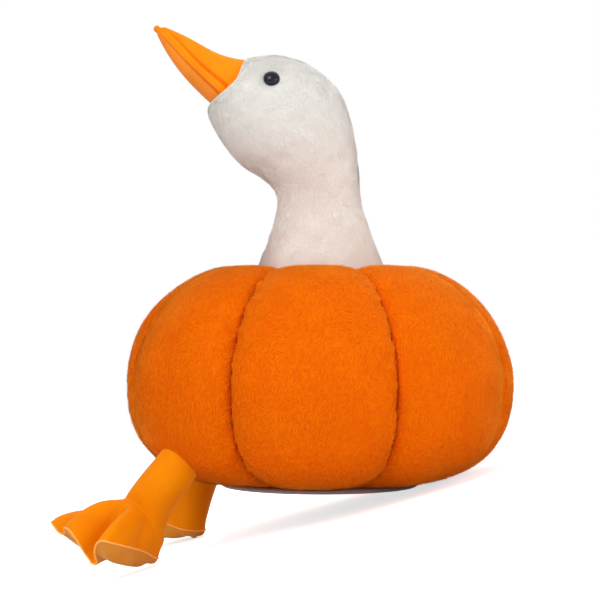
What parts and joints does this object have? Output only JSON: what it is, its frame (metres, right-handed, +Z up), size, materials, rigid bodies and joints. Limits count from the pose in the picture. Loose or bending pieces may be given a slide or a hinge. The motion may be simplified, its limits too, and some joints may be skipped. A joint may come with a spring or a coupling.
{
  "type": "plush goose",
  "caption": "Stuffed goose whose head and neck rise from a lobed pumpkin body, with a raised bill and two webbed feet that hang in front.",
  "frame": {"origin": "on the ground, in the middle of the bounding box, with the toy leaning back on its feet and the rear of its body", "axes": "+Z up, the goose faces -Y, its left side is +X"},
  "size_m": [0.3306, 0.3992, 0.4389],
  "materials": {
    "pumpkin_plush": "short soft pile",
    "base_fabric": "flat weave",
    "white_plush": "short soft pile",
    "bill_velvet": "smooth velvet",
    "leg_velvet": "smooth velvet",
    "eye": "high gloss",
    "washer": "moulded"
  },
  "bodies": {
    "root": {"pumpkin_gore_1": "pumpkin_plush", "pumpkin_gore_2": "pumpkin_plush", "pumpkin_gore_3": "pumpkin_plush", "pumpkin_gore_4": "pumpkin_plush", "pumpkin_gore_5": "pumpkin_plush", "pumpkin_gore_6": "pumpkin_plush", "pumpkin_gore_7": "pumpkin_plush", "base_panel": "base_fabric", "head_and_neck": "white_plush", "bill_upper": "bill_velvet", "bill_lower": "bill_velvet", "eye_left": "eye", "eye_right": "eye", "eye_washer_left": "washer", "eye_washer_right": "washer", "leg_left": "leg_velvet", "leg_right": "leg_velvet", "foot_left": "leg_velvet", "foot_right": "leg_velvet", "foot_sole_left": "leg_velvet", "foot_sole_right": "leg_velvet"}
  },
  "joints": []
}
